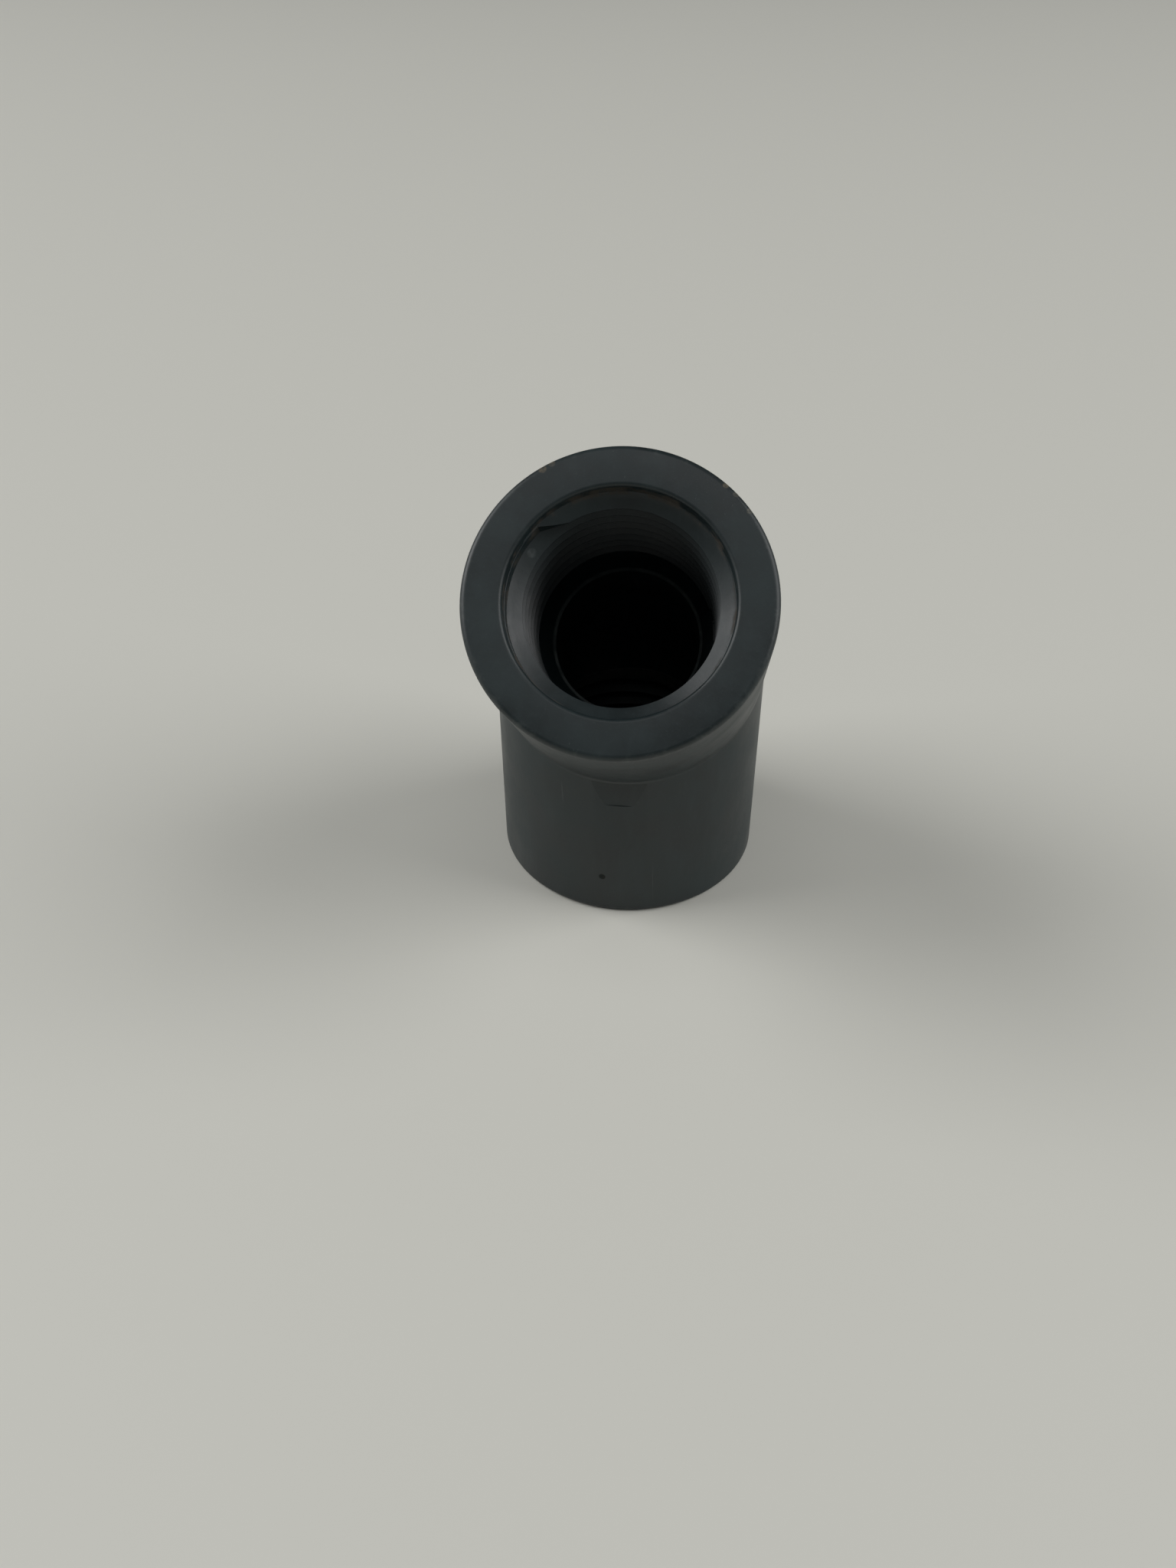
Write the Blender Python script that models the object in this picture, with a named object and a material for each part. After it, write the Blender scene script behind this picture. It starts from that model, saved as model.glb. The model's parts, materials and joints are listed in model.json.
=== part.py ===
"""A 45 degree pipe elbow, moulded in one piece in dark grey PVC.

Both ends have the same female taper pipe thread. The lower hub stands on its end face with its
axis up, and the upper hub leans towards -Y. The origin is the middle of the bottom of the box
round the elbow. Depths are measured from a hub's end face, along its axis, into the elbow.
"""
import math

import bmesh
import bpy
from mathutils import Matrix, Vector

MM = 0.001

# The outside.
HUB_DIAMETER = 28.6 * MM
CENTRE_TO_END = 24.4 * MM
BEND_ANGLE = math.radians(45.0)
RIM_ROUND = 0.5 * MM

# The mouth of each hub: a rounded lip, a counterbore that narrows slightly, and a short lead-in.
MOUTH_LEDGE = 1.31 * MM
MOUTH_ROUND = 0.43 * MM
COUNTERBORE_LEDGE = 1.25 * MM
COUNTERBORE_DEPTH = 1.35 * MM
LEAD_IN_LENGTH = 0.8 * MM

# The taper pipe thread: 14 threads to the inch, 60 degree form, 1 in 16 on the diameter.
THREAD_PITCH = 25.4 / 14.0 * MM
THREAD_HEIGHT = 0.8 * THREAD_PITCH
PITCH_DIAMETER_AT_MOUTH = 19.772 * MM
TAPER_ON_RADIUS = 1.0 / 32.0
HALF_FORM_ANGLE = math.radians(30.0)
THREAD_START_DEPTH = 1.58 * MM
THREAD_START_ANGLE = math.radians(45.0)
THREAD_TURNS = 7.5
RUN_IN_TURNS = 0.12
RUN_OUT_TURNS = 0.35

# Past the thread: a short funnel, a small shoulder and the waterway.
PLAIN_CREST_LENGTH = 0.22 * MM
FUNNEL_LENGTH = 2.0 * MM
SHOULDER_LEDGE = 0.25 * MM
SHOULDER_STEP = 0.2 * MM
WATERWAY_DIAMETER = 14.6 * MM

# The flat where the moulding gate was trimmed, in the throat of the bend.
GATE_WIDTH = 5.8 * MM
GATE_HEIGHT = 3.0 * MM

# How finely round shapes are divided.
SEGMENTS = 40
RIM_SEGMENTS = 4
MOUTH_SEGMENTS = 3
BACK_STEPS = 6
BACK_ARC = BEND_ANGLE / 2.0 + math.radians(10.0)
WELD_DISTANCE = 0.001 * MM

# Worked out from the sizes above.
HUB_RADIUS = HUB_DIAMETER / 2.0
WATERWAY_RADIUS = WATERWAY_DIAMETER / 2.0
MOUTH_CREST_RADIUS = (PITCH_DIAMETER_AT_MOUTH - THREAD_HEIGHT) / 2.0
MOUTH_RADIUS = MOUTH_CREST_RADIUS + MOUTH_LEDGE
COUNTERBORE_RADIUS = MOUTH_CREST_RADIUS + COUNTERBORE_LEDGE
LEAD_IN_DEPTH = COUNTERBORE_DEPTH + LEAD_IN_LENGTH
THREAD_END_DEPTH = THREAD_START_DEPTH + THREAD_TURNS * THREAD_PITCH + PLAIN_CREST_LENGTH
SHOULDER_DEPTH = THREAD_END_DEPTH + FUNNEL_LENGTH
LEAN = Vector((0.0, -math.sin(BEND_ANGLE), math.cos(BEND_ANGLE)))
FRONT_REACH = (
    (CENTRE_TO_END - RIM_ROUND) * math.sin(BEND_ANGLE)
    + (HUB_RADIUS - RIM_ROUND) * math.cos(BEND_ANGLE)
    + RIM_ROUND
)
AXIS_Y = (FRONT_REACH - HUB_RADIUS) / 2.0
BEND_CENTRE = Vector((0.0, AXIS_Y, CENTRE_TO_END))
MITRE_NORMAL = (LEAN + Vector((0.0, 0.0, 1.0))).normalized()
MITRE_LINE = Vector((0.0, MITRE_NORMAL.z, -MITRE_NORMAL.y))


def clear_scene():
    for old in list(bpy.data.objects):
        bpy.data.objects.remove(old, do_unlink=True)


def crest_radius(depth):
    """Radius of the thread's crests, the smallest radius of the threaded bore."""
    return MOUTH_CREST_RADIUS - depth * TAPER_ON_RADIUS


def arc_points(centre_radius, centre_depth, radius, start, end, steps):
    """Points of an arc in a hub's section: 0 degrees is outwards, 90 degrees is deeper."""
    points = []
    for step in range(steps + 1):
        angle = start + (end - start) * step / steps
        points.append((
            centre_radius + radius * math.cos(angle),
            centre_depth + radius * math.sin(angle),
        ))
    return points


def hub_section():
    """The wall of one hub as (radius, depth) points: outside, end face, then the bore.

    The back of the bend is part of a ball of the hub's radius, so the section ends in an arc
    there, and the waterway runs on past the mitre. The mitre trims both.
    """
    back = arc_points(0.0, CENTRE_TO_END, HUB_RADIUS, BACK_ARC, 0.0, BACK_STEPS)
    rim = arc_points(
        HUB_RADIUS - RIM_ROUND, RIM_ROUND, RIM_ROUND, 0.0, -math.pi / 2.0, RIM_SEGMENTS
    )
    lip = arc_points(
        MOUTH_RADIUS + MOUTH_ROUND, MOUTH_ROUND, MOUTH_ROUND,
        -math.pi / 2.0, -math.pi, MOUTH_SEGMENTS,
    )
    bore = [
        (COUNTERBORE_RADIUS, COUNTERBORE_DEPTH),
        (crest_radius(LEAD_IN_DEPTH), LEAD_IN_DEPTH),
        (crest_radius(THREAD_END_DEPTH), THREAD_END_DEPTH),
        (WATERWAY_RADIUS + SHOULDER_LEDGE, SHOULDER_DEPTH),
        (WATERWAY_RADIUS, SHOULDER_DEPTH + SHOULDER_STEP),
        (WATERWAY_RADIUS, CENTRE_TO_END + WATERWAY_DIAMETER),
    ]
    return back + rim + lip + bore


def add_second_hub(bm):
    """Turn a copy of the first hub half round about the mitre line and weld the two."""
    copied = bmesh.ops.duplicate(bm, geom=list(bm.verts) + list(bm.edges) + list(bm.faces))
    turned = [item for item in copied["geom"] if isinstance(item, bmesh.types.BMVert)]
    half_turn = Matrix.Rotation(math.pi, 3, MITRE_LINE)
    bmesh.ops.rotate(bm, cent=BEND_CENTRE, matrix=half_turn, verts=turned)
    bmesh.ops.remove_doubles(bm, verts=list(bm.verts), dist=WELD_DISTANCE)


def elbow_mesh():
    """Both hubs, turned from the section, meeting on the mitre plane."""
    bm = bmesh.new()
    corners = [bm.verts.new((radius, AXIS_Y, depth)) for radius, depth in hub_section()]
    lines = [bm.edges.new(pair) for pair in zip(corners, corners[1:])]
    bmesh.ops.spin(
        bm, geom=corners + lines, cent=(0.0, AXIS_Y, 0.0), axis=(0.0, 0.0, 1.0),
        angle=math.tau, steps=SEGMENTS, use_merge=True,
    )
    bmesh.ops.bisect_plane(
        bm, geom=list(bm.verts) + list(bm.edges) + list(bm.faces), dist=WELD_DISTANCE,
        plane_co=BEND_CENTRE, plane_no=MITRE_NORMAL, clear_outer=True,
    )
    add_second_hub(bm)
    bmesh.ops.recalc_face_normals(bm, faces=list(bm.faces))
    return finished_mesh(bm, "elbow_body")


def groove_section():
    """The thread groove as (radius beyond the crest, depth) points round its middle.

    The flanks run a little past the crests, and the block inside them stands in the open bore.
    """
    past_crest = 0.03 * MM
    block = 0.4 * MM
    root_half_width = (THREAD_PITCH - 2.0 * THREAD_HEIGHT * math.tan(HALF_FORM_ANGLE)) / 4.0
    mouth_half_width = root_half_width + (THREAD_HEIGHT + past_crest) * math.tan(HALF_FORM_ANGLE)
    return [
        (THREAD_HEIGHT, -root_half_width),
        (THREAD_HEIGHT, root_half_width),
        (-past_crest, mouth_half_width),
        (-past_crest - block, mouth_half_width),
        (-past_crest - block, -mouth_half_width),
        (-past_crest, -mouth_half_width),
    ]


def groove_sunk_share(turns):
    """How much of its full depth the groove has: it fades in and out at its two ends."""
    run_in = min(turns / RUN_IN_TURNS, 1.0)
    run_out = min((THREAD_TURNS - turns) / RUN_OUT_TURNS, 1.0)
    return math.sin(math.pi / 2.0 * max(min(run_in, run_out), 0.0))


def groove_mesh():
    """The solid that cuts the thread: the groove's section carried round a tapered helix."""
    section = groove_section()
    steps = round(THREAD_TURNS * SEGMENTS)
    clear_of_wall = 0.1 * MM
    bm = bmesh.new()
    loops = []
    for step in range(steps + 1):
        turns = step / SEGMENTS
        lift = (1.0 - groove_sunk_share(turns)) * (THREAD_HEIGHT + clear_of_wall)
        angle = THREAD_START_ANGLE + math.tau * turns
        ring = []
        for beyond_crest, along in section:
            depth = THREAD_START_DEPTH + turns * THREAD_PITCH + along
            radius = crest_radius(depth) + beyond_crest - lift
            place = (radius * math.cos(angle), AXIS_Y + radius * math.sin(angle), depth)
            ring.append(bm.verts.new(place))
        loops.append([bm.edges.new(pair) for pair in zip(ring, ring[1:] + ring[:1])])
    for loop, further in zip(loops, loops[1:]):
        bmesh.ops.bridge_loops(bm, edges=loop + further)
    bmesh.ops.holes_fill(bm, edges=list(bm.edges), sides=len(section))
    bmesh.ops.recalc_face_normals(bm, faces=list(bm.faces))
    return finished_mesh(bm, "thread_groove")


def gate_mesh():
    """A wedge whose back trims the lower hub flat, leaning in towards the throat.

    It is wider than the flat, because the lean of its back alone gives the flat's rounded foot.
    """
    throat_depth = CENTRE_TO_END - HUB_RADIUS * math.tan(BEND_ANGLE / 2.0)
    flat_distance = math.sqrt(HUB_RADIUS ** 2 - (GATE_WIDTH / 2.0) ** 2)
    front_y = AXIS_Y - HUB_RADIUS
    clear_of_hub = 1.0 * MM
    side_x = GATE_WIDTH / 2.0 + clear_of_hub
    bm = bmesh.new()
    corners = [
        bm.verts.new((-side_x, AXIS_Y - flat_distance, throat_depth)),
        bm.verts.new((-side_x, front_y, throat_depth - GATE_HEIGHT)),
        bm.verts.new((-side_x, front_y - clear_of_hub, throat_depth - GATE_HEIGHT)),
        bm.verts.new((-side_x, front_y - clear_of_hub, throat_depth)),
    ]
    side = bm.faces.new(corners)
    grown = bmesh.ops.extrude_face_region(bm, geom=[side])
    far_corners = [item for item in grown["geom"] if isinstance(item, bmesh.types.BMVert)]
    bmesh.ops.translate(bm, verts=far_corners, vec=(2.0 * side_x, 0.0, 0.0))
    bmesh.ops.recalc_face_normals(bm, faces=list(bm.faces))
    return finished_mesh(bm, "gate_trim")


def finished_mesh(bm, name):
    mesh = bpy.data.meshes.new(name)
    bm.to_mesh(mesh)
    bm.free()
    return mesh


def add_object(name, mesh):
    made = bpy.data.objects.new(name, mesh)
    bpy.context.scene.collection.objects.link(made)
    return made


def add_cutter(body, name, mesh, matrix):
    """Cut a shape out of the body and keep the cutter out of sight."""
    cutter = add_object(name, mesh)
    cutter.matrix_world = matrix
    cutter.hide_render = True
    cutter.display_type = "WIRE"
    cut = body.modifiers.new(name, "BOOLEAN")
    cut.operation = "DIFFERENCE"
    cut.solver = "EXACT"
    cut.object = cutter


def moulded_pvc():
    """Dark grey rigid PVC with the satin skin of an injection mould."""
    material = bpy.data.materials.new("moulded_pvc")
    material.use_nodes = True
    shader = material.node_tree.nodes["Principled BSDF"]
    shader.inputs["Base Color"].default_value = (0.028, 0.034, 0.038, 1.0)
    shader.inputs["Roughness"].default_value = 0.42
    shader.inputs["Metallic"].default_value = 0.0
    return material


def build_elbow():
    body = add_object("elbow_body", elbow_mesh())
    body.data.materials.append(moulded_pvc())
    groove = groove_mesh()
    half_turn = (
        Matrix.Translation(BEND_CENTRE)
        @ Matrix.Rotation(math.pi, 4, MITRE_LINE)
        @ Matrix.Translation(-BEND_CENTRE)
    )
    add_cutter(body, "lower_thread", groove, Matrix.Identity(4))
    add_cutter(body, "upper_thread", groove, half_turn)
    add_cutter(body, "gate_trim", gate_mesh(), Matrix.Identity(4))
    body.data.shade_smooth()
    body.data.set_sharp_from_angle(angle=math.radians(30.0))


clear_scene()
build_elbow()
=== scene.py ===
# %% [markdown]
# # A threaded PVC pipe elbow
#
# This fitting turns a water or air line through 45 degrees. It is one injection moulding in dark
# grey rigid PVC: two equal hubs that meet at a mitre, with a female taper pipe thread in each.
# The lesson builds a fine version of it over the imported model, then its plastic, then the studio.
#
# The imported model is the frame. It is loaded first, and its box is kept, because the finished
# elbow has to stay inside it.

import json
import math

import bmesh
import bpy
from mathutils import Matrix, Vector


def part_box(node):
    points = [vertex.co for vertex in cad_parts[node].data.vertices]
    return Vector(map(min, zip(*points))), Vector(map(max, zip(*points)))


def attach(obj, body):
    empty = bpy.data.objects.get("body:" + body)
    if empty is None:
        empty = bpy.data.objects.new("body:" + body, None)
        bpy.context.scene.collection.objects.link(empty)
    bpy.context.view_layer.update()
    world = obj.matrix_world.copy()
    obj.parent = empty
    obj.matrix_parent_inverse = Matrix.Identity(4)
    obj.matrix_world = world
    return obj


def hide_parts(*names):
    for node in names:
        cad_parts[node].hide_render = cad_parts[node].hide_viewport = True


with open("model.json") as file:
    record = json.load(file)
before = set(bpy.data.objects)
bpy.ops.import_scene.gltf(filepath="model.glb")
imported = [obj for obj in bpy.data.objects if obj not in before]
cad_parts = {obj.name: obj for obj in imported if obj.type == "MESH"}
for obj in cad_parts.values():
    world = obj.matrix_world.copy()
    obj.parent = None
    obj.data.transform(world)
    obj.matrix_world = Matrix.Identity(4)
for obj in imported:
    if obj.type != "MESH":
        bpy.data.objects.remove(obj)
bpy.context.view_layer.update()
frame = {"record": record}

# %% [markdown]
# ## Where the two hubs are
#
# A pipe elbow is set out from a few numbers: the hub's diameter, the point where the two axes
# cross, and the distance from that point to each end, which fitters call centre-to-end. The frame
# holds all of them. The box of the body gives the diameter, and the record's upper face gives the
# end point and the lean of the upper hub. Reading them here, and not typing them again, keeps the
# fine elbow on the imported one.

# %% Set out the axes
MM = 0.001
body_low, body_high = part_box("elbow_body")
hub_radius = (body_high[0] - body_low[0]) / 2.0
axis_y = body_high[1] - hub_radius

upper_face = next(m for m in frame["record"]["mounts"] if m["name"] == "upper_face")
lean = Vector(upper_face["axis"]).normalized()
upper_end = Vector((0.0, upper_face["pos_m"][1], upper_face["pos_m"][2]))
centre_to_end = (upper_end.y - axis_y) / lean.y
bend_centre = Vector((0.0, axis_y, centre_to_end))
bend_angle = math.acos(lean.z)

mitre_normal = (lean + Vector((0.0, 0.0, 1.0))).normalized()
mitre_line = Vector((0.0, mitre_normal.z, -mitre_normal.y))
half_turn = (
    Matrix.Translation(bend_centre)
    @ Matrix.Rotation(math.pi, 4, mitre_line)
    @ Matrix.Translation(-bend_centre)
)
print(f"hub radius {hub_radius / MM:.2f} mm, centre to end {centre_to_end / MM:.2f} mm")
print(f"bend {math.degrees(bend_angle):.1f} degrees")

# %% [markdown]
# ## The pipe thread in numbers
#
# A taper pipe thread narrows by 1 in 16 on its diameter, so that it jams and seals as it is
# screwed up. This size has 14 threads to the inch. Its flanks stand at 60 degrees to each other,
# and the groove is 0.8 of the pitch deep. Every radius in the bore follows from the crest radius
# at a given depth, so one small function holds the taper.

# %% Thread sizes
thread_pitch = 25.4 / 14.0 * MM
thread_height = 0.8 * thread_pitch
pitch_diameter_at_mouth = 19.772 * MM
taper_on_radius = 1.0 / 32.0
half_form_angle = math.radians(30.0)
thread_start_depth = 1.2 * MM
thread_start_angle = math.radians(41.0)
thread_turns = 7.69
ridge_start_turns = 0.1
run_out_turns = 0.35
plain_crest_length = 0.22 * MM
thread_end_depth = thread_start_depth + thread_turns * thread_pitch + plain_crest_length


def crest_radius(depth):
    """Radius of the thread's crests at a depth below the hub's end face."""
    return (pitch_diameter_at_mouth - thread_height) / 2.0 - depth * taper_on_radius


print(f"crests {2.0 * crest_radius(0.0) / MM:.2f} mm across at the mouth")
print(f"pitch {thread_pitch / MM:.3f} mm")

# %% [markdown]
# ## The section of one hub
#
# A hub is round, so a lathe-like spin makes it from half a section. The section runs down the
# outside, over the rounded rim, across the flat end face and then up the bore: the counterbore, a
# lead-in, the crests of the thread, a short funnel, a small shoulder and the waterway.
#
# Moulded plastic has no knife edges. Each corner that a finger or the light can reach is a small
# arc here, because those arcs are what catch the light as thin bright lines.
#
# The back of the bend is part of a ball with the hub's radius, so the section ends in an arc
# there. It runs past the mitre plane, which trims it later.
#
# The mouth is a plain counterbore a little wider than the thread, with a soft lip, so that a pipe
# finds its way in before the first ridge of the thread.

# %% Draw the section
rim_round = 0.6 * MM
mouth_round = 0.43 * MM
mouth_ledge = 1.31 * MM
mouth_radius = crest_radius(0.0) + mouth_ledge
counterbore_ledge = 1.25 * MM
counterbore_radius = crest_radius(0.0) + counterbore_ledge
counterbore_depth = 1.35 * MM
lead_in_length = 0.8 * MM
lead_in_depth = counterbore_depth + lead_in_length
waterway_radius = 7.3 * MM
shoulder_ledge = 0.25 * MM
shoulder_radius = waterway_radius + shoulder_ledge
funnel_length = 2.0 * MM
shoulder_depth = thread_end_depth + funnel_length
shoulder_step = 0.2 * MM


def arc_points(centre, radius, start, end, steps):
    """Points of an arc in the section. Angle 0 points away from the axis, 90 degrees inwards."""
    points = []
    for step in range(steps + 1):
        angle = math.radians(start + (end - start) * step / steps)
        across = centre[0] + radius * math.cos(angle)
        along = centre[1] + radius * math.sin(angle)
        points.append((across, along))
    return points


def hub_section():
    """The wall of one hub as points of radius and depth."""
    past_mitre = math.degrees(bend_angle) / 2.0 + 10.0
    back = arc_points((0.0, centre_to_end), hub_radius, past_mitre, 0.0, 14)
    rim = arc_points((hub_radius - rim_round, rim_round), rim_round, 0.0, -90.0, 8)
    lip_centre = (mouth_radius + mouth_round, mouth_round)
    lip = arc_points(lip_centre, mouth_round, -90.0, -180.0, 8)
    bore = [
        (counterbore_radius, counterbore_depth),
        (crest_radius(lead_in_depth), lead_in_depth),
        (crest_radius(thread_end_depth), thread_end_depth),
        (shoulder_radius + 0.1 * MM, shoulder_depth - 0.2 * MM),
        (shoulder_radius, shoulder_depth),
        (shoulder_radius - 0.04 * MM, shoulder_depth + 0.06 * MM),
        (waterway_radius + 0.05 * MM, shoulder_depth + shoulder_step - 0.03 * MM),
        (waterway_radius, shoulder_depth + shoulder_step + 0.05 * MM),
        (waterway_radius, centre_to_end + 2.0 * waterway_radius),
    ]
    return back + rim + lip + bore


print("section points:", len(hub_section()))

# %% [markdown]
# ## Spin one hub, trim it, and turn a second one
#
# Both hubs are alike, and the second is the first turned half round about a line in the mitre
# plane. A half turn is used and not a mirror, because a mirror would make a left-hand thread.
#
# The spin runs past the mitre plane. `bisect_plane` trims it there, and the two cut edges weld
# into one wall. In the throat the two hubs meet in a crease, which a real mould rounds off a
# little. Its edges get a bevel weight that fades towards the sides, where the crease dies out.

# %% Make the plain elbow
segments = 180
weld = 0.001 * MM
throat_fillet = 0.42 * MM
faintest_crease = 0.12


def spin_hub(bm):
    """Turn the section into one hub and trim it on the mitre plane."""
    corners = [bm.verts.new((radius, axis_y, depth)) for radius, depth in hub_section()]
    lines = [bm.edges.new(pair) for pair in zip(corners, corners[1:])]
    bmesh.ops.spin(
        bm, geom=corners + lines, cent=(0.0, axis_y, 0.0), axis=(0.0, 0.0, 1.0),
        angle=math.tau, steps=segments, use_merge=True,
    )
    bmesh.ops.bisect_plane(
        bm, geom=list(bm.verts) + list(bm.edges) + list(bm.faces), dist=weld,
        plane_co=bend_centre, plane_no=mitre_normal, clear_outer=True,
    )


def add_second_hub(bm):
    """Copy the hub, turn the copy half round and weld the two together."""
    copied = bmesh.ops.duplicate(bm, geom=list(bm.verts) + list(bm.edges) + list(bm.faces))
    turned = [item for item in copied["geom"] if isinstance(item, bmesh.types.BMVert)]
    bmesh.ops.transform(bm, matrix=half_turn, verts=turned)
    bmesh.ops.remove_doubles(bm, verts=list(bm.verts), dist=weld)
    bmesh.ops.recalc_face_normals(bm, faces=list(bm.faces))


def weigh_throat(bm):
    """Give each edge of the throat's crease a bevel weight that follows how sharp it is."""
    weight = bm.edges.layers.float.new("bevel_weight_edge")
    for edge in bm.edges:
        middle = (edge.verts[0].co + edge.verts[1].co) / 2.0
        off_plane = max(abs((v.co - bend_centre).dot(mitre_normal)) for v in edge.verts)
        outside = math.hypot(middle.x, middle.y - axis_y) > (hub_radius + waterway_radius) / 2.0
        sharpness = (axis_y - middle.y) / hub_radius
        if off_plane < weld and outside and sharpness > faintest_crease:
            edge[weight] = sharpness


def add_piece(name, bm):
    mesh = bpy.data.meshes.new(name)
    bm.to_mesh(mesh)
    bm.free()
    piece = bpy.data.objects.new(name, mesh)
    bpy.context.scene.collection.objects.link(piece)
    return piece


def make_plain_elbow():
    bm = bmesh.new()
    spin_hub(bm)
    add_second_hub(bm)
    weigh_throat(bm)
    piece = add_piece("moulded_elbow", bm)
    fillet = piece.modifiers.new("throat_fillet", "BEVEL")
    fillet.limit_method = "WEIGHT"
    fillet.width = throat_fillet
    fillet.segments = 5
    return piece


def bake_modifiers(piece):
    """Replace a piece's mesh by what its modifiers make of it."""
    ready = bpy.context.evaluated_depsgraph_get()
    finished = bpy.data.meshes.new_from_object(piece.evaluated_get(ready))
    piece.modifiers.clear()
    piece.data = finished


elbow = make_plain_elbow()
bake_modifiers(elbow)
print("plain elbow faces:", len(elbow.data.polygons))

# %% [markdown]
# ## Cut the threads
#
# The mould forms the thread with a screwed core that unwinds out of the part. The matching solid
# is a groove section carried round a helix: `spin` with a small lift at each step makes it. Two
# rules then bend it to a pipe thread. The radius shrinks with depth, which is the taper, and near
# its end the groove sinks back into the open bore, which gives the run-out.
#
# A second helix, one turn long, opens the space above the first groove. It closes quickly after
# that turn, so the first ridge rises from the wall along a short ramp, like a fin. That ramp is
# the one part of a thread that the eye finds at once when it looks into the mouth.
#
# Subtracting these solids leaves clean flanks and narrow crests. The same cutters, turned half
# round, cut the second hub, and both threads stay right-handed.

# %% Make the thread cutters
past_crest = 0.03 * MM
cutter_block = 0.4 * MM
clear_of_wall = 0.1 * MM
root_round = 0.06 * MM


def groove_section():
    """The groove as points of radius beyond the crest and distance along the axis."""
    tangent = math.tan(half_form_angle)
    root_half = (thread_pitch - 2.0 * thread_height * tangent) / 4.0
    mouth_half = root_half + (thread_height + past_crest) * tangent
    shallow_half = root_half + root_round * tangent
    one_side = [
        (thread_height - root_round * 0.15, root_half * 0.5),
        (thread_height - root_round, shallow_half),
        (thread_height / 2.0, thread_pitch / 4.0),
        (-past_crest, mouth_half),
        (-past_crest - cutter_block, mouth_half),
    ]
    other_side = [(beyond, -along) for beyond, along in reversed(one_side)]
    return one_side + other_side


def opening_section():
    """What is open above the first groove: a block one pitch tall, out to the counterbore."""
    outer = counterbore_radius - crest_radius(0.0)
    inner = -past_crest - cutter_block
    top = -1.05 * thread_pitch
    foot = 0.05 * thread_pitch
    return [(outer, top), (outer, foot), (inner, foot), (inner, top)]


def groove_share(turns):
    """Share of its full depth that the groove has. It fades away where the thread ends."""
    left = max(thread_turns - turns, 0.0) / run_out_turns
    return math.sin(math.pi / 2.0 * min(left, 1.0))


def opening_share(turns):
    """Share of the first turn's opening. It closes over the ramp on which the ridge starts."""
    along_ramp = min(max((turns - 1.0) / ridge_start_turns, 0.0), 1.0)
    return (1.0 - along_ramp) ** 3


def taper_and_fade(bm, corners_per_ring, first_turn, share):
    """Bend a straight helix onto the tapered thread, sinking it into the bore where it fades."""
    for number, corner in enumerate(bm.verts):
        turns = first_turn + number // corners_per_ring / segments
        outwards = Vector((corner.co.x, corner.co.y - axis_y, 0.0))
        narrowed = crest_radius(corner.co.z) - crest_radius(0.0)
        sunk_back = (1.0 - share(turns)) * (thread_height + clear_of_wall)
        scale = (outwards.length + narrowed - sunk_back) / outwards.length
        corner.co.x *= scale
        corner.co.y = axis_y + (corner.co.y - axis_y) * scale


def make_helix_cutter(name, section, first_turn, turns, share):
    """Carry a section round the thread's helix, from one turn on and for a number of turns."""
    bm = bmesh.new()
    corners = []
    for beyond, along in section:
        depth = thread_start_depth + first_turn * thread_pitch + along
        corners.append(bm.verts.new((crest_radius(0.0) + beyond, axis_y, depth)))
    lines = [bm.edges.new(pair) for pair in zip(corners, corners[1:] + corners[:1])]
    to_start = Matrix.Rotation(thread_start_angle + math.tau * first_turn, 3, "Z")
    bmesh.ops.rotate(bm, cent=(0.0, axis_y, 0.0), matrix=to_start, verts=corners)
    bmesh.ops.spin(
        bm, geom=corners + lines, cent=(0.0, axis_y, 0.0), axis=(0.0, 0.0, 1.0),
        dvec=(0.0, 0.0, thread_pitch / segments), angle=math.tau * turns,
        steps=round(turns * segments),
    )
    bmesh.ops.holes_fill(bm, edges=list(bm.edges), sides=len(section))
    taper_and_fade(bm, len(section), first_turn, share)
    bmesh.ops.recalc_face_normals(bm, faces=list(bm.faces))
    return add_piece(name, bm)


def cut_out(piece, cutter, place):
    """Subtract a cutter at a place, and keep only the result."""
    cutter.matrix_world = place
    cut = piece.modifiers.new("cut", "BOOLEAN")
    cut.operation = "DIFFERENCE"
    cut.solver = "EXACT"
    cut.object = cutter
    bpy.context.view_layer.update()
    bake_modifiers(piece)


groove_from = -0.03
opening_from = 0.15
opening_turns = 1.0 + ridge_start_turns - opening_from
groove_cutter = make_helix_cutter(
    "groove_cutter", groove_section(), groove_from, thread_turns - groove_from, groove_share
)
opening_cutter = make_helix_cutter(
    "opening_cutter", opening_section(), opening_from, opening_turns, opening_share
)
print("groove cutter faces:", len(groove_cutter.data.polygons))
print("opening cutter faces:", len(opening_cutter.data.polygons))

# %% Cut both threads
for cutter in (opening_cutter, groove_cutter):
    cut_out(elbow, cutter, Matrix.Identity(4))
    cut_out(elbow, cutter, half_turn)
    bpy.data.objects.remove(cutter, do_unlink=True)
print("threaded elbow faces:", len(elbow.data.polygons))

# %% [markdown]
# ## The gate scar
#
# Melt enters the mould through a gate, and its stub is trimmed off afterwards. On this elbow that
# leaves a flat in the throat of the bend, deepest at the top, with a shallow lip at its foot. A
# wedge with a leaning back cuts it. The lean alone gives the flat its rounded lower outline,
# because the hub curves away from it.

# %% Trim the gate
gate_width = 5.8 * MM
gate_height = 3.0 * MM
gate_lip = 0.07 * MM


gate_top = centre_to_end - hub_radius * math.tan(bend_angle / 2.0) - throat_fillet * 0.6
gate_foot = gate_top - gate_height
gate_top_y = axis_y - math.sqrt(hub_radius ** 2 - (gate_width / 2.0) ** 2)
gate_foot_y = axis_y - hub_radius + gate_lip


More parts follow.
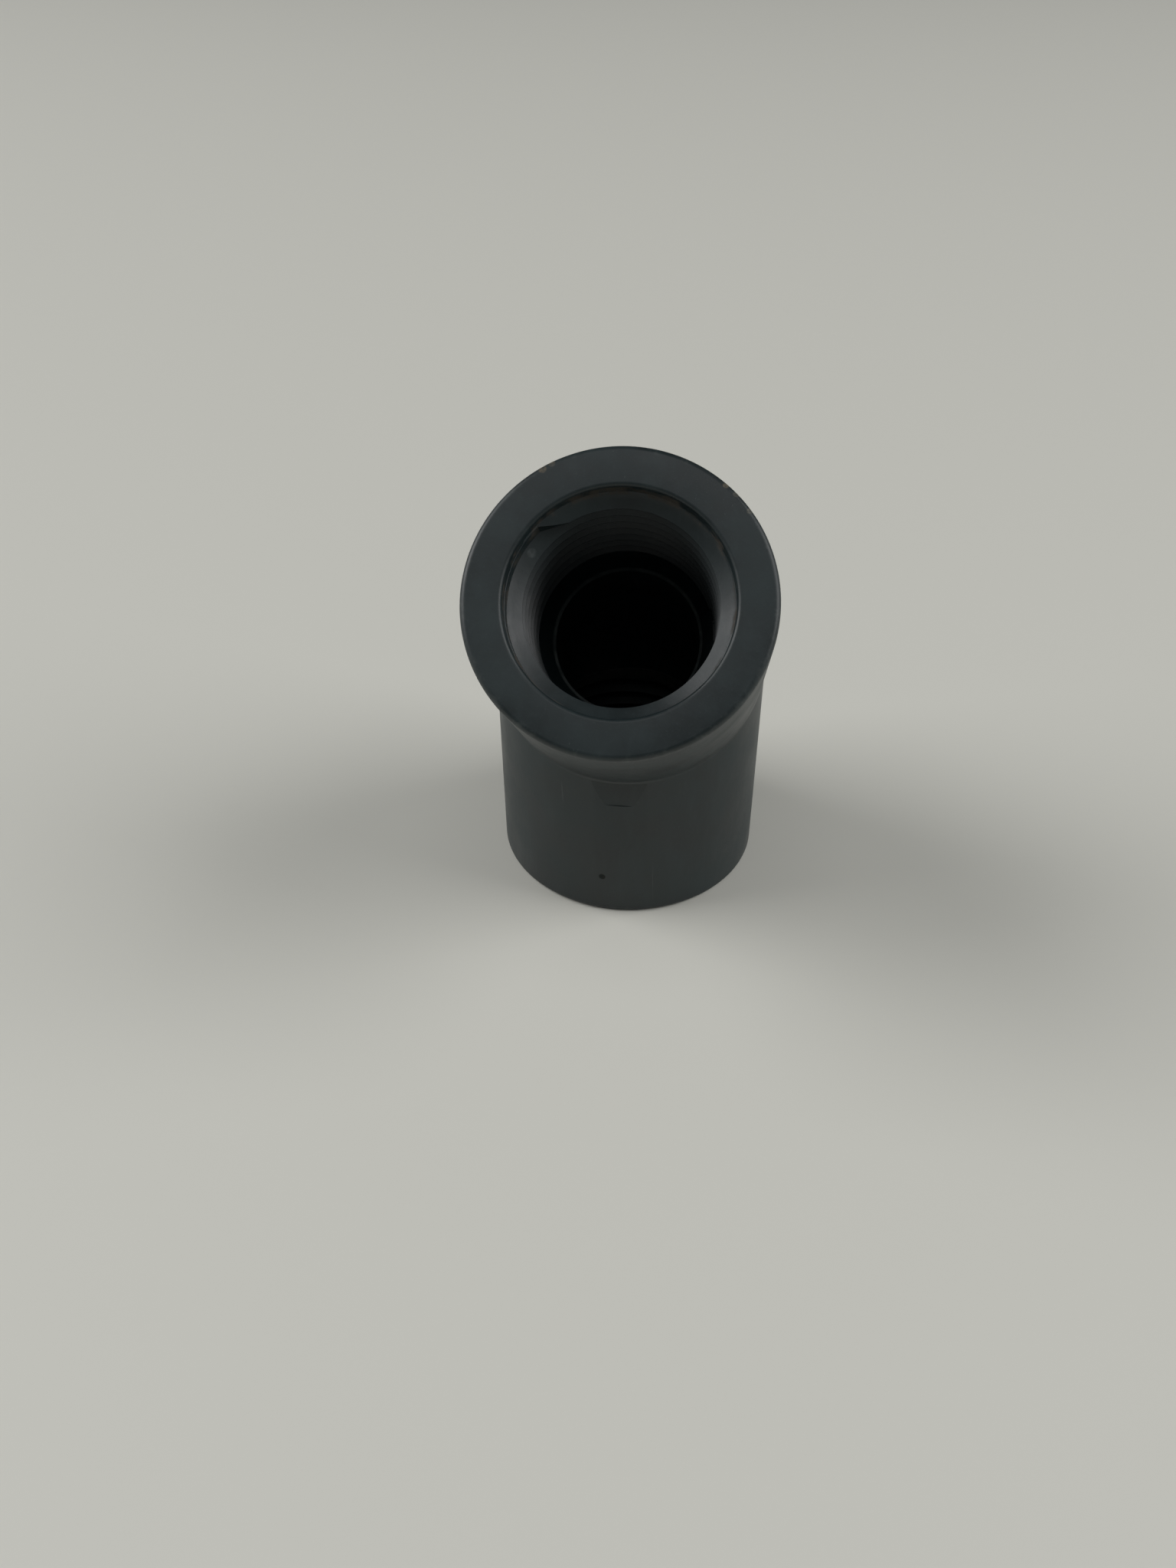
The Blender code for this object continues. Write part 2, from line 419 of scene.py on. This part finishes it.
def make_gate_cutter():
    outside = axis_y - hub_radius - 1.0 * MM
    half_width = gate_width / 2.0 + 1.0 * MM
    bm = bmesh.new()
    side = [
        bm.verts.new((-half_width, gate_top_y, gate_top)),
        bm.verts.new((-half_width, gate_foot_y, gate_foot)),
        bm.verts.new((-half_width, outside, gate_foot)),
        bm.verts.new((-half_width, outside, gate_top)),
    ]
    grown = bmesh.ops.extrude_face_region(bm, geom=[bm.faces.new(side)])
    far_side = [item for item in grown["geom"] if isinstance(item, bmesh.types.BMVert)]
    bmesh.ops.translate(bm, verts=far_side, vec=(2.0 * half_width, 0.0, 0.0))
    bmesh.ops.recalc_face_normals(bm, faces=list(bm.faces))
    return add_piece("gate_cutter", bm)


gate_cutter = make_gate_cutter()
cut_out(elbow, gate_cutter, Matrix.Identity(4))
bpy.data.objects.remove(gate_cutter, do_unlink=True)

# %% [markdown]
# ## Shade it smooth
#
# Curved walls are shaded smooth, and any corner sharper than about 30 degrees stays sharp, so the
# thread's flanks keep their crests.

# %% Smooth the elbow and put it on the frame
elbow.data.shade_smooth()
elbow.data.set_sharp_from_angle(angle=math.radians(32.0))


def sharpen_gate_flat():
    """Keep the border of the trimmed flat crisp, since its corners are too faint for the rule."""
    flat_normal = Vector((0.0, gate_foot - gate_top, gate_top_y - gate_foot_y)).normalized()
    bm = bmesh.new()
    bm.from_mesh(elbow.data)
    on_flat = set()
    for face in bm.faces:
        middle = face.calc_center_median()
        facing = face.normal.dot(flat_normal) > math.cos(math.radians(0.3))
        if facing and gate_foot < middle.z < gate_top and middle.y < gate_top_y + weld:
            on_flat.add(face)
    for edge in bm.edges:
        if sum(face in on_flat for face in edge.link_faces) == 1:
            edge.smooth = False
    bm.to_mesh(elbow.data)
    bm.free()
    return len(on_flat)


print("faces on the gate's flat:", sharpen_gate_flat())
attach(elbow, "root")
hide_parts("elbow_body")
triangles = sum(len(face.vertices) - 2 for face in elbow.data.polygons)
print("finished elbow triangles:", triangles)

# %% [markdown]
# ## Moulded PVC
#
# Rigid PVC pipe fittings are dark grey through and through, with a trace of blue-green. The colour
# is so dark that most of what the eye sees is the reflection in the satin skin, so roughness and
# the small bumps matter more than colour.

# %% Material helpers


def linear(hex_colour):
    """Turn an sRGB hex colour into the linear values that a shader takes."""
    channels = []
    for start in (0, 2, 4):
        value = int(hex_colour[start:start + 2], 16) / 255.0
        if value <= 0.04045:
            channels.append(value / 12.92)
        else:
            channels.append(((value + 0.055) / 1.055) ** 2.4)
    return (*channels, 1.0)


def add_node(tree, kind, inputs=None, **settings):
    """Add a node, set its properties, and link or set its inputs."""
    node = tree.nodes.new(kind)
    for name, value in settings.items():
        setattr(node, name, value)
    for socket, source in (inputs or {}).items():
        if isinstance(source, bpy.types.NodeSocket):
            tree.links.new(source, node.inputs[socket])
        else:
            node.inputs[socket].default_value = source
    return node


# %% Mix the plastic


def math_node(tree, operation, first, second=0.0):
    """One step of arithmetic on values."""
    return add_node(tree, "ShaderNodeMath", {0: first, 1: second}, operation=operation).outputs[0]


def ramp(tree, value, start, end, low=0.0, high=1.0):
    """Carry a value smoothly from low to high as it goes from start to end."""
    return add_node(tree, "ShaderNodeMapRange", {
        "Value": value, "From Min": start, "From Max": end, "To Min": low, "To Max": high,
    }, interpolation_type="SMOOTHSTEP").outputs["Result"]


def noise(tree, place, size, detail=3.0, roughness=0.5):
    """A cloudy pattern whose patches are about this size."""
    return add_node(tree, "ShaderNodeTexNoise", {
        "Vector": place, "Scale": 1.0 / size, "Detail": detail, "Roughness": roughness,
    }).outputs["Fac"]


def tinted(tree, share, under, over):
    """Lay one colour over another."""
    return add_node(tree, "ShaderNodeMix", {
        "Factor": share, "A": under, "B": over,
    }, data_type="RGBA").outputs["Result"]


def upper_hub_point(angle, radius, depth):
    """A place on the upper hub. The angle runs from +X, anticlockwise for one looking in."""
    sideways = Vector((1.0, 0.0, 0.0))
    outwards = sideways * math.cos(angle) + lean.cross(sideways) * math.sin(angle)
    return bend_centre + lean * (centre_to_end - depth) + outwards * radius


def lower_hub_point(angle, height):
    """A place on the lower hub's outside. The angle runs from the front, towards +X."""
    outwards = Vector((math.sin(angle), -math.cos(angle), 0.0))
    return Vector((0.0, axis_y, height)) + outwards * hub_radius


def spot(tree, place, centre, size):
    """A round patch with a soft edge."""
    away = add_node(tree, "ShaderNodeVectorMath", {0: place, 1: centre}, operation="DISTANCE")
    return ramp(tree, away.outputs["Value"], 1.15 * size, 0.75 * size)


def radius_and_depth(tree, place, axis):
    """Distance from a hub's axis and depth from its end face."""
    from_centre = add_node(
        tree, "ShaderNodeVectorMath", {0: place, 1: bend_centre}, operation="SUBTRACT"
    ).outputs["Vector"]
    along = add_node(
        tree, "ShaderNodeVectorMath", {0: from_centre, 1: axis}, operation="DOT_PRODUCT"
    ).outputs["Value"]
    across = add_node(
        tree, "ShaderNodeVectorMath", {0: from_centre, 1: axis}, operation="CROSS_PRODUCT"
    ).outputs["Vector"]
    radius = add_node(
        tree, "ShaderNodeVectorMath", {0: across}, operation="LENGTH"
    ).outputs["Value"]
    return radius, math_node(tree, "SUBTRACT", centre_to_end, along)


def mouth_dirt(tree, place, axis):
    """Brownish dust that has settled on the wall of the counterbore, in patches."""
    radius, depth = radius_and_depth(tree, place, axis)
    at_wall = math_node(
        tree, "MULTIPLY",
        ramp(tree, radius, 10.1 * MM, 10.35 * MM),
        ramp(tree, radius, 10.75 * MM, 10.5 * MM),
    )
    at_depth = math_node(
        tree, "MULTIPLY",
        ramp(tree, depth, 0.2 * MM, 0.6 * MM),
        ramp(tree, depth, 3.2 * MM, 2.2 * MM),
    )
    patches = ramp(tree, noise(tree, place, 2.2 * MM, 5.0, 0.7), 0.46, 0.62)
    return math_node(tree, "MULTIPLY", math_node(tree, "MULTIPLY", at_wall, at_depth), patches)


def shoulder_dust(tree, place, axis):
    """Pale dust on the corner of the shoulder, past the thread."""
    radius, depth = radius_and_depth(tree, place, axis)
    foot = shoulder_depth + shoulder_step
    at_corner = math_node(
        tree, "MULTIPLY",
        ramp(tree, depth, shoulder_depth - 0.15 * MM, shoulder_depth - 0.05 * MM),
        ramp(tree, depth, foot + 0.2 * MM, foot),
    )
    inside = ramp(tree, radius, 8.2 * MM, 7.9 * MM)
    patches = ramp(tree, noise(tree, place, 1.6 * MM, 4.0, 0.6), 0.3, 0.7, 0.4, 1.0)
    return math_node(tree, "MULTIPLY", math_node(tree, "MULTIPLY", at_corner, inside), patches)


def rim_wear(tree, place, axis):
    """Where the outer corner of an end face has been knocked and rubbed."""
    radius, depth = radius_and_depth(tree, place, axis)
    at_rim = math_node(
        tree, "MULTIPLY",
        ramp(tree, radius, 13.5 * MM, 13.95 * MM),
        ramp(tree, depth, 0.9 * MM, 0.35 * MM),
    )
    broken = ramp(tree, noise(tree, place, 1.1 * MM, 4.0, 0.65), 0.52, 0.68)
    return math_node(tree, "MULTIPLY", at_rim, broken)


def scratches(tree, place, turn, spacing, threshold):
    """Fine straight scuffs, all in one direction: noise drawn out thirty times along it."""
    drawn_out = add_node(tree, "ShaderNodeMapping", {
        "Vector": place, "Rotation": turn, "Scale": (1.0, 1.0, 1.0 / 30.0),
    }).outputs["Vector"]
    return ramp(tree, noise(tree, drawn_out, spacing, 2.0, 0.5), threshold, threshold + 0.06)


def on_both_hubs(tree, place, mask):
    """Lay the same mask over both hubs. Each is told the way its hub points, out of its mouth."""
    return math_node(
        tree, "MAXIMUM", mask(tree, place, lean), mask(tree, place, Vector((0.0, 0.0, -1.0)))
    )


cloud_size = 7.0 * MM
flow_size = 2.6 * MM
grain_size = 0.22 * MM
flow_depth = 0.03 * MM
grain_depth = 0.004 * MM
scuff_depth = 0.003 * MM
# Each mark: where it is, its radius, how much it covers and its colour.
stain_place = lower_hub_point(math.radians(-7.0), 5.0 * MM)
stain_size = 0.38 * MM
marks = [
    (upper_hub_point(math.radians(123.0), 13.95 * MM, 0.15 * MM), 0.4 * MM, 0.28, "8c7a5e"),
    (upper_hub_point(math.radians(119.0), 14.0 * MM, 0.2 * MM), 0.35 * MM, 0.3, "8d8069"),
    (upper_hub_point(math.radians(51.0), 14.0 * MM, 0.2 * MM), 0.3 * MM, 0.35, "9a8d74"),
    (upper_hub_point(math.radians(46.0), 14.05 * MM, 0.2 * MM), 0.3 * MM, 0.3, "8f8875"),
    (upper_hub_point(math.radians(38.0), 14.0 * MM, 0.2 * MM), 0.3 * MM, 0.3, "8f8875"),
    (upper_hub_point(math.radians(248.0), 9.9 * MM, 1.9 * MM), 0.16 * MM, 0.8, "c8ccc8"),
    (upper_hub_point(math.radians(241.0), 10.4 * MM, 0.9 * MM), 0.13 * MM, 0.8, "c8ccc8"),
    (upper_hub_point(math.radians(150.0), 9.8 * MM, 3.4 * MM), 0.45 * MM, 0.12, "a8b0ae"),
    (stain_place, stain_size, 0.6, "2c261e"),
    (lower_hub_point(math.radians(34.9), 17.8 * MM), 0.7 * MM, 0.3, "101314"),
]


def moulded_pvc():
    """Rigid PVC, moulded in a polished steel mould and handled since.

    The real material is grey through and through. It gives the eye a broad soft sheen on a dark
    blue-green ground, cloudy where the melt flowed, brighter along its rounded corners, with fine
    scuffs, dust in the corners and small tan marks where it was knocked.
    """
    material = bpy.data.materials.new("moulded_grey_pvc")
    material.use_nodes = True
    tree = material.node_tree
    shader = tree.nodes["Principled BSDF"]
    shader.inputs["Metallic"].default_value = 0.0
    shader.inputs["IOR"].default_value = 1.53
    place = add_node(tree, "ShaderNodeTexCoord").outputs["Object"]
    clouds = noise(tree, place, cloud_size, 5.0, 0.6)
    drawn_out = add_node(tree, "ShaderNodeMapping", {
        "Vector": place, "Scale": (1.0, 1.0, 0.3),
    }).outputs["Vector"]
    flow = noise(tree, drawn_out, flow_size, 4.0, 0.55)
    grain = noise(tree, place, grain_size, 2.0, 0.6)
    scuffs = math_node(
        tree, "MAXIMUM",
        scratches(tree, place, (0.4, 0.9, 0.2), 0.22 * MM, 0.7),
        scratches(tree, place, (1.3, -0.5, 1.1), 0.3 * MM, 0.71),
    )
    rubbed_areas = ramp(tree, noise(tree, place, 9.0 * MM), 0.45, 0.65)
    scuffed = math_node(tree, "MULTIPLY", scuffs, rubbed_areas)
    dirt = on_both_hubs(tree, place, mouth_dirt)
    dust = on_both_hubs(tree, place, shoulder_dust)
    worn = on_both_hubs(tree, place, rim_wear)

    colour = tinted(tree, ramp(tree, clouds, 0.3, 0.7), linear("121c1e"), linear("1d292b"))
    colour = tinted(tree, ramp(tree, flow, 0.45, 0.75, 0.0, 0.35), colour, linear("283436"))
    colour = tinted(tree, ramp(tree, grain, 0.55, 0.8, 0.0, 0.3), colour, linear("2f3b3d"))
    colour = tinted(tree, math_node(tree, "MULTIPLY", scuffed, 0.2), colour, linear("6f7474"))
    colour = tinted(tree, math_node(tree, "MULTIPLY", dirt, 0.6), colour, linear("4c443a"))
    colour = tinted(tree, math_node(tree, "MULTIPLY", dust, 0.4), colour, linear("8a908e"))
    colour = tinted(tree, math_node(tree, "MULTIPLY", worn, 0.2), colour, linear("555a58"))
    for centre, size, share, tint in marks:
        broken = ramp(tree, noise(tree, place, 0.35 * MM, 3.0, 0.7), 0.4, 0.6, 0.35, 1.0)
        patch = math_node(tree, "MULTIPLY", spot(tree, place, centre, size), broken)
        colour = tinted(tree, math_node(tree, "MULTIPLY", patch, share), colour, linear(tint))
    tree.links.new(colour, shader.inputs["Base Color"])
    stained = spot(tree, place, stain_place, stain_size)
    tree.links.new(ramp(tree, stained, 0.0, 1.0, 0.5, 0.1), shader.inputs["Specular IOR Level"])

    dull = ramp(tree, clouds, 0.3, 0.7, 0.36, 0.48)
    dull = math_node(tree, "ADD", dull, math_node(tree, "MULTIPLY", grain, 0.06))
    dull = math_node(tree, "ADD", dull, math_node(tree, "MULTIPLY", scuffed, 0.12))
    dull = math_node(tree, "ADD", dull, math_node(tree, "MULTIPLY", dirt, 0.3))
    tree.links.new(dull, shader.inputs["Roughness"])

    skin = add_node(tree, "ShaderNodeBump", {
        "Height": flow, "Strength": 1.0, "Distance": flow_depth,
    }).outputs["Normal"]
    skin = add_node(tree, "ShaderNodeBump", {
        "Height": grain, "Strength": 1.0, "Distance": grain_depth, "Normal": skin,
    }).outputs["Normal"]
    skin = add_node(tree, "ShaderNodeBump", {
        "Height": scuffed, "Strength": 1.0, "Distance": scuff_depth, "Normal": skin,
    }, invert=True).outputs["Normal"]
    tree.links.new(skin, shader.inputs["Normal"])
    return material


elbow.data.materials.clear()
elbow.data.materials.append(moulded_pvc())

# %% [markdown]
# ## The studio
#
# A pale matt floor, a broad soft window on each side, and a weaker soft light above the front. The
# side windows draw the long soft highlights down both hubs, and the light in front fills the end
# face. The camera looks down at about 40 degrees, a little from the right.

# %% Floor and lights


def make_floor():
    bm = bmesh.new()
    bmesh.ops.create_grid(bm, x_segments=1, y_segments=1, size=3.0)
    floor = add_piece("floor", bm)
    material = bpy.data.materials.new("pale_floor")
    material.use_nodes = True
    shader = material.node_tree.nodes["Principled BSDF"]
    shader.inputs["Base Color"].default_value = linear("d8d7cf")
    shader.inputs["Roughness"].default_value = 0.6
    floor.data.materials.append(material)


def add_soft_light(name, size, place, aim, power):
    """A square area light at a place, pointed at a point."""
    lamp = bpy.data.lights.new(name, "AREA")
    lamp.shape = "RECTANGLE"
    lamp.size, lamp.size_y = size
    lamp.energy = power
    light = bpy.data.objects.new(name, lamp)
    light.location = place
    light.rotation_euler = (Vector(aim) - Vector(place)).to_track_quat("-Z", "Y").to_euler()
    bpy.context.scene.collection.objects.link(light)


def set_world(colour, strength):
    world = bpy.data.worlds.new("studio_world")
    world.use_nodes = True
    background = world.node_tree.nodes["Background"]
    background.inputs["Color"].default_value = colour
    background.inputs["Strength"].default_value = strength
    bpy.context.scene.world = world


make_floor()
set_world(linear("e8eeee"), 0.1)
add_soft_light("left_window", (1.0, 1.0), (-1.2, 0.05, 0.85), (0.0, 0.0, 0.0), 13.0)
add_soft_light("right_window", (1.0, 1.0), (1.2, 0.05, 0.85), (0.0, 0.0, 0.0), 11.5)
add_soft_light("overhead", (0.7, 0.7), (0.0, -0.35, 1.15), (0.0, 0.0, 0.0), 1.5)

# %% Camera
camera_from_hub = Vector((7.76, -117.14, 103.73)) * MM
aim_from_hub = Vector((-5.46, 7.25, 0.0)) * MM
camera_roll = math.radians(-0.5)
lens_length = 30.31
sensor_width = 36.0
hub_foot = Vector((0.0, axis_y, 0.0))


def make_camera():
    lens = bpy.data.cameras.new("camera")
    lens.sensor_width = sensor_width
    lens.lens = lens_length
    lens.clip_start = 1.0 * MM
    camera = bpy.data.objects.new("camera", lens)
    camera.location = hub_foot + camera_from_hub
    looking = aim_from_hub - camera_from_hub
    aimed = looking.to_track_quat("-Z", "Y").to_matrix()
    camera.rotation_euler = (aimed @ Matrix.Rotation(camera_roll, 3, "Z")).to_euler()
    bpy.context.scene.collection.objects.link(camera)
    bpy.context.scene.camera = camera


make_camera()
bpy.context.scene.view_settings.view_transform = "Standard"
